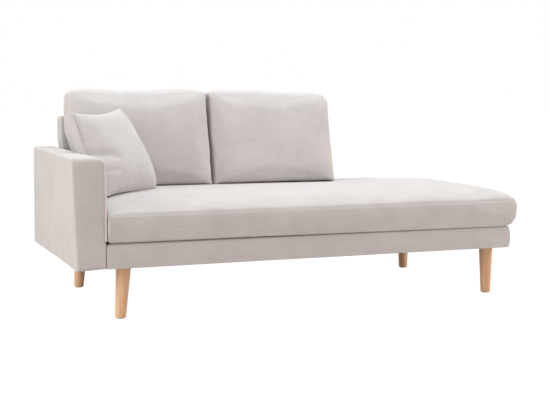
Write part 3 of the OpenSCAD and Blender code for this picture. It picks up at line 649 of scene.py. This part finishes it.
def plain(name, dark, light, scale, roughness, metallic):
    """A material of one tone with a fine grain: foam, felt, cloth, nylon or plated steel."""
    material, tree, shader = new_material(name)
    place = node(tree, "TexCoord").outputs["Object"]
    grain = stretched_noise(tree, place, (scale, scale, scale), 3.0, 0.6)
    colour = colour_between(tree, grain, dark, light)
    finish_surface(tree, shader, colour, grain, strength=0.4, depth=0.0003, roughness=roughness)
    shader.inputs["Metallic"].default_value = metallic
    return material


# Seat cushion

def seat_block(half, crown, notch):
    """The seat cushion's block, crowned and filled, without the corner that the backrest takes."""
    block = Block(
        half[:2], SEAT_CELL, SEAT_WALL, extra_a=(notch[0],), extra_b=(notch[1],),
        hole=lambda a, b: a < notch[0] and b > notch[1])
    to_front = ease(-block.b, -0.10, 0.10)
    reach = (0.070 - 0.020 * ease(block.a, 0.60, 0.85), 0.070 + 0.025 * to_front)
    roundness = (0.42, 0.42 + 0.10 * to_front * (1 - ease(block.a, 0.65, 0.85)))
    block.shape((0.006, 0.026, 0.012, 0.040), crown_high=crown, reach=reach, roundness=roundness)
    block.inflate(block.on_bottom, **SEAT_BAG)
    rise = np.maximum(block.points[:, 2] - SEAT_BORDER, 0)
    block.points[:, 2] -= rise * (1 - crown / rise.max())
    return block


def shape_foot_end(block, height):
    """Swells the right end, undercuts its foot, and lowers the seam towards it."""
    x, z = block.points[:, 0], block.points[:, 2]
    end = block.half[0]
    undercut = UNDERCUT_DEPTH * ramp(height, UNDERCUT_HEIGHT, 0) ** 1.3
    x += ramp(x, end - UNDERCUT_LENGTH, end) * (END_SWELL - undercut)
    at_seam = ramp(height, 0.03, 0.10) * ramp(height, SEAT_BORDER + 0.030, SEAT_BORDER)
    z -= SEAM_FALL * ramp(x, end - SEAM_FALL_LENGTH, end) ** 2 * at_seam


def shape_rear(block, height):
    """Lowers the top's rear edge beside the backrest, and presses the top under the back cushions."""
    y, z = block.points[:, 1], block.points[:, 2]
    edge = block.half[1]
    rear = ramp(y, edge - REAR_DEPTH, edge) * ramp(height, SEAT_BORDER, 1.2 * SEAT_BORDER)
    z += rear * (REAR_RISE * bump(block.a - 0.42, 0.08) - REAR_FALL * ease(block.a, 0.55, 0.71))
    pressed = PRESSED_LEFT + PRESSED_MORE_RIGHT * ramp(block.a, -0.25, 0.33)
    under_cushions = (1 - ease(block.a, 0.30, 0.40)) * ease(block.b, 0.10, 0.21)
    z -= np.where(block.on_top, pressed * under_cushions, 0)


def shape_front(block, height):
    """Brings the front forward, and lets its lower edge hang, more towards the right."""
    y, z = block.points[:, 1], block.points[:, 2]
    end, front = block.half
    y -= FRONT_FORWARD * ramp(y, FRONT_DEPTH - front, -front)
    between_ends = ramp(block.a, -end, 0.020 - end) * ramp(block.a, end, end - 0.08)
    lip = ease(-block.b, front - 0.025, front - 0.010) * ramp(block.inset, 0.012, 0.006)
    hang = HANG_MIDDLE + HANG_SLOPE * block.a
    z -= lip * between_ends * ramp(height, LIP_HEIGHT, 0) * hang


def seat_cushion(material, neighbours):
    """The long boxed seat cushion, with a seam round its top and one just above its underside."""
    middle, half = centre_and_half("seat_cushion_cover")
    low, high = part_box("seat_cushion_cover")
    panel_low, panel_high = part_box("back_cover")
    notch = (panel_high[0] + PANEL_GAP - middle[0], panel_low[1] - PANEL_GAP - middle[1])
    block = seat_block(half, high[2] - low[2] - SEAT_BORDER - SEAT_TOP_DROP, notch)
    height = block.points[:, 2].copy()
    shape_foot_end(block, height)
    shape_rear(block, height)
    shape_front(block, height)
    top_seam(block, SEAT_BORDER, depth=0.0017, evenness=0.55, wavelength=0.15, seed=6)
    low_seam = np.where(block.on_bottom, block.edge_distance(), block.c - SEAT_LOW_SEAM)
    seam_groove(block, low_seam, depth=0.0008)
    block.points += [middle[0], middle[1], low[2]]
    ripple(block, depth=0.0012, scale=(0.35, 0.22, 0.2), seed=3)
    keep_clear(block.points, neighbours, SEAT_CLEARANCE)
    return build("seat_cushion", block, "seat_cushion", ["seat_cushion_cover", "seat_cushion_foam"], material)


# Back cushions

def top_line(side, t):
    """How far a back cushion's top edge rises over its box. t runs from -1 to 1 along it."""
    if side == "left":
        swells = 0.0080 * bump(t + 0.72, 0.35) + 0.0065 * bump(t - 0.65, 0.30) + 0.0020 * bump(t - 0.78, 0.12)
        return swells - 0.0030 * bump(t + 0.22, 0.10) + 0.0035 * (1 - t**4)
    slope = 0.0050 * (1 - t**4) - 0.0105 * np.tanh(1.6 * (t - 0.10)) - 0.003 * bump(t + 0.8, 0.4)
    return slope - 0.0055 + 0.0045 * ease(t, 0.35, 0.95)


def junction_shift(z):
    """How far the line where the back cushions meet lies right of their boxes' line, at a height."""
    return 0.0018 + 0.006 * ramp(z, 0.46, 0.84) - 0.0045 * ease(z, 0.60, 0.68)


def cushion_block(side, half):
    """A back cushion's block, crowned and filled, as wide as its box."""
    look = CUSHIONS[side]
    block = Block((half[0], half[2]), CUSHION_CELL, CUSHION_WALL)
    inward = block.a * look["inward"] > 0
    reach = (np.where(inward, look["inner_reach"], 0.035), np.where(block.b < 0, 0.035, 0.052))
    radii = (CUSHION_CORNER, CUSHION_CORNER, *look["top_radii"])
    block.shape(radii, CUSHION_CROWN_REAR, CUSHION_CROWN_FRONT, reach, roundness=0.60)
    block.inflate(block.on_bottom, **CUSHION_BAG)
    block.points[:, 0] *= 2 * half[0] / np.ptp(block.points[:, 0])
    return block


def bulge_ends(side, block, half):
    """Swells the ends at mid height, but not past the box. The right cushion's outer end stays straight."""
    x = block.points[:, 0]
    mid_height = np.clip(1 - (block.points[:, 1] / half[1]) ** 2, 0, 1)
    bulge = CUSHION_BULGE * mid_height * ramp(np.abs(x) / half[0], 0.8, 1)
    bulge = np.where((block.a > 0) & (side == "right"), 0, bulge)
    x += np.sign(x) * np.minimum(bulge, half[0] - np.abs(x))


def press_wall_seam(block):
    """Presses a seam into the upper half of the left cushion's outer wall."""
    on_wall = (block.a < 0.001 - block.half[0]) & ~block.on_top & ~block.on_bottom
    seam = bump(block.c - CUSHION_WALL_SEAM, 0.003) * ease(block.b, -0.05, 0.05)
    block.press(-WALL_SEAM_DEPTH * on_wall * seam)


def tuck_left_end(block, a, b, c):
    """Draws the lower part of the left cushion's outer end in, behind the throw pillow."""
    end = block.half[0]
    lower = ease(b, 0.044, -0.056)
    c -= np.where(block.on_top, TUCK_BACK * lower * bump(end + block.a - 0.008, 0.007), 0)
    a += TUCK_IN * lower * ramp(-a / end) ** 6


def lean_cushion(side, block, middle, half):
    """Points of a back cushion in its place: bent along its edges, and leaning on the backrest."""
    look = CUSHIONS[side]
    a, b, c = block.points.T.copy()
    meeting = ramp(look["inward"] * a / half[0])
    c += look["forward"] * (MEETING_FRONT - c) * meeting**6 * ramp(c / CUSHION_BORDER)
    if side == "left":
        tuck_left_end(block, a, b, c)
    rise = ramp(b / half[2]) ** 2 * top_line(side, a / half[0])
    sink = CUSHION_FOOT_SINK * ramp(-b / half[2]) ** 2
    z = middle[2] + b + rise - sink
    a += meeting**5 * junction_shift(z)
    if side == "right":
        a += RIGHT_END_OUT * ramp(a / half[0]) ** 5
    panel_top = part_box("back_cover")[1][2]
    y = (z - panel_top) * math.tan(CUSHION_RAKE) - c
    y += middle[1] + half[1] - CUSHION_REAR_GAP - y.max()
    return np.column_stack([middle[0] + a, y, z])


def back_cushion(side, material, neighbours):
    """A loose boxed back cushion."""
    nodes = [f"{side}_cushion_cover", f"{side}_cushion_filling"]
    middle, half = centre_and_half(nodes[0])
    block = cushion_block(side, half)
    bulge_ends(side, block, half)
    top_seam(block, CUSHION_BORDER, depth=0.0010, evenness=0.6, wavelength=0.12, seed=9)
    if side == "left":
        press_wall_seam(block)
    ripple(block, depth=0.0016, scale=(0.20, 0.16, 0.2), seed=CUSHIONS[side]["seed"])
    block.points = keep_clear(lean_cushion(side, block, middle, half), neighbours, CUSHION_CLEARANCE)
    return build(f"{side}_back_cushion", block, f"{side}_cushion", nodes, material)


# Throw pillow

def pillow_block():
    """The pillow's block, filled: two crowned faces that meet in a thin seam."""
    block = Block((PILLOW_HALF, PILLOW_HALF), PILLOW_CELL, PILLOW_WALL, near=PILLOW_LINES)
    reach = (0.045 + 0.020 * ramp(-block.a / PILLOW_HALF), 0.045)
    radii = (0.008, 0.030, 0.008, 0.012)
    block.shape(radii, PILLOW_CROWN, PILLOW_CROWN, reach, roundness=0.66, draw_in=PILLOW_DRAW_IN)
    block.inflate(block.edge_distance() < 0.001, **PILLOW_BAG)
    return block


def crumple(block, a, b, c):
    """Adds the folds and a soft unevenness to the pillow's faces. The seam stays as it is."""
    inside = ramp(block.edge_distance(), 0, 0.012)
    spots = np.column_stack([block.a, block.b])
    c += block.on_top * sum(fold(spots, *line) for line in PILLOW_FOLDS) * inside
    outward = np.where(block.on_top, 1, -1)
    uneven = waviness(np.column_stack([a, b, c]), (0.09, 0.09, 0.09), seed=11)
    c += PILLOW_UNEVENNESS * uneven * inside * outward


def slump(a, b, c, u, v):
    """Bends the pillow's edges and corners. u and v run from -1 to 1 across it and up."""
    left, right, up = ramp(-u), ramp(u), ramp(v)
    b += TOP_CORNER_UP * right**3 * up**3 - TOP_SAG * bump(u + 0.1, 0.6) * up**3
    a += TOP_CORNER_OUT * up**2 * right**2
    a -= LEFT_EDGE_OUT * left**4 * bump(v - 0.05, 0.60)
    a += RIGHT_EDGE_OUT * right**3 * bump(v + 0.15, 0.80)
    c += RIGHT_EDGE_FORWARD * right**2 * bump(v + 0.05, 0.95)
    c -= LEFT_EDGE_BACK * left**3 * bump(v + 0.10, 0.40)
    c += LEFT_CORNER_FORWARD * left**3 * up**3


def leaned_and_turned(a, b, c):
    """The pillow's points in the frame's directions: leaned back, then turned to face the seat."""
    y = b * math.sin(PILLOW_LEAN) - c * math.cos(PILLOW_LEAN)
    z = b * math.cos(PILLOW_LEAN) + c * math.sin(PILLOW_LEAN)
    x = a * math.cos(PILLOW_TURN) - y * math.sin(PILLOW_TURN)
    y = a * math.sin(PILLOW_TURN) + y * math.cos(PILLOW_TURN)
    return np.column_stack([x, y, z])


def throw_pillow(material, arm_surface, neighbours):
    """The throw pillow, leaning in the corner between the arm and the left back cushion."""
    nodes = ["throw_pillow_cover", "throw_pillow_filling"]
    middle, _ = centre_and_half(nodes[0])
    block = pillow_block()
    a, b, c = block.points.T.copy()
    crumple(block, a, b, c)
    u, v = a / PILLOW_HALF, b / PILLOW_HALF
    slump(a, b, c, u, v)
    points = leaned_and_turned(a, b, c)
    points[:, 2] -= (FOOT_SINK + FOOT_SINK_MIDDLE * bump(u - 0.1, 0.6)) * ramp(-v) ** 3
    block.points = keep_clear(points + middle, [arm_surface], PILLOW_ARM_CLEARANCE)
    keep_clear(block.points, neighbours, PILLOW_CLEARANCE)
    return build("throw_pillow", block, "throw_pillow", nodes, material)


# Arm

def arm_points(block, height, depth):
    """The arm's points along a, b and c, with its upper front edge rolled and its outer seam pressed."""
    a, b, c = block.points.T
    a += 0.5 * block.inset * ramp(a / block.half[0]) ** 4
    b *= np.where(b > 0, height / (height - block.inset), 1)
    roll = np.where((b > 0) & (c > 0), ARM_FRONT_ROLL, 0.004)
    c, b = rounded(np.column_stack([c, b]), np.array([[depth, height]]), roll).T
    seam = bump(a + block.half[0] - ARM_SEAM_PLACE, 0.006) * ease(c, depth - 0.020, depth - 0.008)
    return a, b, c - ARM_SEAM_DEPTH * seam


def arm(material):
    """The arm's upholstery. Its outer side leans out towards the top of the front."""
    middle, half = centre_and_half("arm_cover")
    depth, height = half[1], half[2]
    block = Block((ARM_WIDTH / 2, height), ARM_CELL, arc_profile(-depth, depth, 0.010, 0.013, 0.012))
    block.shape((0.006, 0.006, 0.008, ARM_CORNER_RADIUS))
    a, b, c = arm_points(block, height, depth)
    outward = (ARM_WIDTH / 2 - a) / ARM_WIDTH
    forward = (c + depth) / (2 * depth)
    upward = (b + height) / (2 * height)
    lean = ARM_LEAN_FRONT * forward * upward + ARM_FOOT_BACK * (1 - forward) * (1 - upward)
    lean += ARM_FRONT_OUT * forward**2
    x = middle[0] + half[0] - ARM_WIDTH / 2 + a - outward * lean
    droop = ARM_FOOT_DROOP * forward**4 * (1 - upward) * outward
    z = middle[2] + b + ARM_REAR_RISE * (1 - forward) * upward - droop
    block.points = np.column_stack([x, middle[1] - c, z])
    ripple(block, depth=0.0010, scale=(0.30, 0.30, 0.30), seed=21)
    return build("arm_upholstery", block, "frame", ["arm_cover", "arm_foam"], material)


def evenly_spaced(route, step):
    """Points about a step apart along a route, and how far along it each of them lies."""
    route = np.array(route)
    steps = np.linalg.norm(np.diff(route, axis=0), axis=1)
    length = np.concatenate([[0], np.cumsum(steps)])
    along = np.linspace(0, length[-1], max(round(length[-1] / step), 8))
    return np.column_stack([np.interp(along, length, route[:, k]) for k in range(3)]), along


def unit_rows(vectors):
    """The vectors, each one long."""
    return vectors / np.linalg.norm(vectors, axis=1, keepdims=True)


def welt(name, route, body, material):
    """A folded seam that stands up as a thin cord along a route, uneven where the stitches pull it."""
    path, along = evenly_spaced(route, WELT_STEP)
    tangent = unit_rows(np.gradient(path, axis=0))
    side = unit_rows(np.cross(tangent, [0, 1, 0]))
    up = np.cross(side, tangent)
    swell = WELT_RADIUS * (1 + STITCH_SWELL * np.sin(2 * math.pi * along / STITCH_LENGTH))
    points, quads, places = [], [], []
    for k in range(len(path)):
        for turn in np.linspace(0, 2 * math.pi, WELT_SIDES, endpoint=False):
            points.append(path[k] + swell[k] * (math.cos(turn) * side[k] + math.sin(turn) * up[k]))
    for k in range(len(path) - 1):
        for s in range(WELT_SIDES):
            low, high = k * WELT_SIDES, (k + 1) * WELT_SIDES
            after = (s + 1) % WELT_SIDES
            quads.append([low + s, low + after, high + after, high + s])
            near, far = s * WELT_RADIUS, (s + 1) * WELT_RADIUS
            places.extend([(near, along[k]), (far, along[k]), (far, along[k + 1]), (near, along[k + 1])])
    first_end = list(range(WELT_SIDES))[::-1]
    last_end = [len(points) - WELT_SIDES + s for s in range(WELT_SIDES)]
    places.extend([(0.0, 0.0)] * (2 * WELT_SIDES))
    piece = add_mesh(name, points, quads + [first_end, last_end], places, material)
    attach(piece, body)
    return piece


def arm_welt(material):
    """The seam along the arm's inner front edge, from its top down to just above the base."""
    low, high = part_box("arm_cover")
    x, y, top = high[0] - 0.0015, low[1] + 0.0030, high[2] - 0.0010
    radius = ARM_CORNER_RADIUS
    turns = np.linspace(0.55, math.pi / 2, 12)
    plan = [(x - radius + radius * math.sin(t), top - radius + radius * math.cos(t)) for t in turns]
    plan += [(x, z) for z in np.linspace(top - radius - 0.004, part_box("base_cover")[1][2] + 0.012, 30)]
    route = []
    for across, height in plan:
        short = max(ARM_FRONT_ROLL - (top - height), 0)
        back = ARM_FRONT_ROLL - math.sqrt(ARM_FRONT_ROLL**2 - short**2)
        sunk = 0.003 * max(1 - (top - height) / 0.020, 0)
        route.append((across - sunk, y + back + sunk, height - sunk))
    return welt("arm_welt", route, "frame", material)


# Base and backrest

def base(material):
    """The base's upholstery, with a lip round the dust cover under it. Its right end bulges a little."""
    middle, half = centre_and_half("base_cover")
    height = 2 * half[2]
    block = Block(half[:2], PANEL_CELL, arc_profile(0, height, 0.0025, 0.009, 0.014), near=BASE_LINES)
    block.shape((0.003, 0.009, 0.003, 0.012))
    inner = block.on_bottom & (block.edge_distance() > BASE_LIP + 0.001)
    block.points[inner, 2] += DUST_CLOTH_RECESS
    x, y, z = block.points.T
    at_end = ramp(block.a, half[0] - BASE_END_LENGTH, half[0])
    x += BASE_END_BULGE * at_end * np.sin(math.pi * ramp(z, 0, height)) ** 0.7
    y += BASE_FRONT_BACK * ramp(y, 0.06 - half[1], -half[1]) * ramp(z, 0.040, height - 0.005)
    block.points += [middle[0], middle[1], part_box("base_cover")[0][2]]
    ripple(block, depth=0.0006, scale=(0.30, 0.30, 0.12), seed=31)
    return build("base_upholstery", block, "frame", ["base_cover", "base_wadding"], material)


def back_panel(material):
    """The backrest's upholstery. Above the arm its left end is wider, and rises a little."""
    middle, half = centre_and_half("back_cover")
    profile = arc_profile(-half[1], half[1], PANEL_CORNER, PANEL_CORNER, PANEL_CELL)
    block = Block((half[0], half[2]), PANEL_CELL, profile)
    block.shape((0.004, 0.004, 0.014, 0.014))
    a, b, c = block.points.T
    over_arm = ramp(middle[2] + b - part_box("arm_cover")[1][2], 0, 0.03)
    x = middle[0] + a - PANEL_OVER_ARM_OUT * over_arm * ramp(a + half[0], 0.04, 0)
    z = middle[2] + b + PANEL_OVER_ARM_RISE * over_arm * ramp(a + half[0], 0.25, 0)
    block.points = np.column_stack([x, middle[1] - c, z])
    ripple(block, depth=0.0008, scale=(0.30, 0.2, 0.30), seed=41)
    return build("back_upholstery", block, "frame", ["back_cover", "back_foam"], material)


# Pieces that stay as they are in the frame

def finish(slot):
    """The material of a slot, or none for the fabric's slot."""
    if slot in WOODS:
        return wood(*WOODS[slot])
    if slot in PLAIN_FINISHES:
        return plain(slot, *PLAIN_FINISHES[slot])
    return None


def dress_frame():
    """Gives every node that isn't fabric its finish, and rounds the legs' edges."""
    slots = {part["node"]: part["material_slot"] for part in frame["record"]["subparts"]}
    finishes = {slot: finish(slot) for slot in sorted(set(slots.values()))}
    for name, piece in frame["nodes"].items():
        slot = slots[name]
        if finishes[slot] is None:
            continue
        piece.data.materials.clear()
        piece.data.materials.append(finishes[slot])
        if slot == "leg_wood":
            soften = piece.modifiers.new("soften", "BEVEL")
            soften.width, soften.segments = LEG_EDGE, 3
            soften.limit_method, soften.angle_limit = "ANGLE", math.radians(50)


# Stage

def seen_directly(tree):
    """One where the camera, a reflection or a look through something reaches the surface."""
    path = node(tree, "LightPath")
    seen = math_node(tree, "MAXIMUM", path.outputs["Is Camera Ray"], path.outputs["Is Glossy Ray"])
    return math_node(tree, "MAXIMUM", seen, path.outputs["Is Transmission Ray"])


def mix_to_output(tree, share, first, second, output):
    """Sends a mix of two shaders to the output."""
    mix = node(tree, "MixShader")
    tree.links.new(share, mix.inputs[0])
    tree.links.new(first.outputs[0], mix.inputs[1])
    tree.links.new(second.outputs[0], mix.inputs[2])
    tree.links.new(mix.outputs[0], output.inputs[0])


def floor():
    """A plain pale floor that keeps a faint shadow."""
    reach = FLOOR_REACH
    corners = [(-reach, -reach, 0), (reach, -reach, 0), (reach, reach, 0), (-reach, reach, 0)]
    mesh = bpy.data.meshes.new("floor")
    mesh.from_pydata(corners, [], [[0, 1, 2, 3]])
    piece = bpy.data.objects.new("floor", mesh)
    bpy.context.scene.collection.objects.link(piece)
    material, tree, shader = new_material("pale_floor")
    shader.inputs["Base Color"].default_value = FLOOR_COLOUR
    shader.inputs["Roughness"].default_value = 0.9
    shader.inputs["Specular IOR Level"].default_value = 0.1
    share = math_node(tree, "MULTIPLY", seen_directly(tree), FLOOR_GLOW_SHARE)
    glow = node(tree, "Emission", Color=FLOOR_GLOW)
    mix_to_output(tree, share, shader, glow, tree.nodes["Material Output"])
    mesh.materials.append(material)


def world():
    """An even studio light, white where the camera or a reflection looks past the object."""
    scene = bpy.context.scene
    scene.world = bpy.data.worlds.new("studio")
    scene.world.use_nodes = True
    tree = scene.world.node_tree
    tree.nodes.clear()
    fill = node(tree, "Background", Color=FILL_COLOUR, Strength=FILL_STRENGTH)
    white = node(tree, "Background", Color=(1, 1, 1, 1), Strength=1.0)
    mix_to_output(tree, seen_directly(tree), fill, white, node(tree, "OutputWorld"))


def softbox(name, place, target, size, power, colour):
    """A square area lamp that faces a point."""
    lamp = bpy.data.lights.new(name, "AREA")
    lamp.shape, lamp.size, lamp.energy, lamp.color = "SQUARE", size, power, colour
    piece = bpy.data.objects.new(name, lamp)
    piece.location = place
    piece.rotation_mode = "QUATERNION"
    piece.rotation_quaternion = (Vector(target) - Vector(place)).to_track_quat("-Z", "Y")
    bpy.context.scene.collection.objects.link(piece)


def lights():
    """The studio's lamps: one above, one over the camera's side, and one at each end."""
    softbox("overhead", (0.2, 0.6, 4.2), (0.2, 0, 0.4), 3.4, 126, (0.824, 0.955, 1.0))
    softbox("over_front", (0.2, -2.4, 3.8), (0, 0, 0.4), 3.0, 12, (0.93, 0.956, 1.0))
    softbox("left_side", (-4.2, -1.0, 1.8), (-0.4, 0, 0.4), 2.4, 89, (0.947, 1.0, 0.981))
    softbox("right_side", (4.2, -1.6, 1.7), (0.2, 0, 0.4), 2.4, 81, (0.951, 1.0, 0.984))


def camera():
    """The camera of the photograph."""
    data = bpy.data.cameras.new("camera")
    data.lens, data.sensor_width = FOCAL_LENGTH, 36.0
    piece = bpy.data.objects.new("camera", data)
    piece.location = CAMERA_PLACE
    piece.rotation_euler = (CAMERA_TILT, 0, CAMERA_TURN)
    bpy.context.scene.collection.objects.link(piece)
    bpy.context.scene.camera = piece


def upholster():
    """Makes the fabric pieces. Each loose one is kept clear of those that it rests on."""
    fabric = linen("linen", (0.548, 0.518, 0.506), (0.656, 0.630, 0.620))
    base_piece = base(fabric)
    arm_piece = arm(fabric)
    # The welt gets a lighter copy of the same linen: a painted highlight standing in for light that catches
    # the cord.
    arm_welt(linen("linen_welt_painted_highlight", (0.64, 0.605, 0.59), (0.76, 0.73, 0.72)))
    panel_piece = back_panel(fabric)
    seat = seat_cushion(fabric, [surface(base_piece), surface(panel_piece)])
    seat_surface = surface(seat)
    backs = [back_cushion(side, fabric, [seat_surface]) for side in ("left", "right")]
    pillow = throw_pillow(fabric, surface(arm_piece), [surface(backs[0]), seat_surface])


def main():
    """Sets the stage, and dresses the frame."""
    bpy.context.scene.view_settings.view_transform = "Standard"
    camera()
    world()
    lights()
    floor()
    dress_frame()
    upholster()


main()
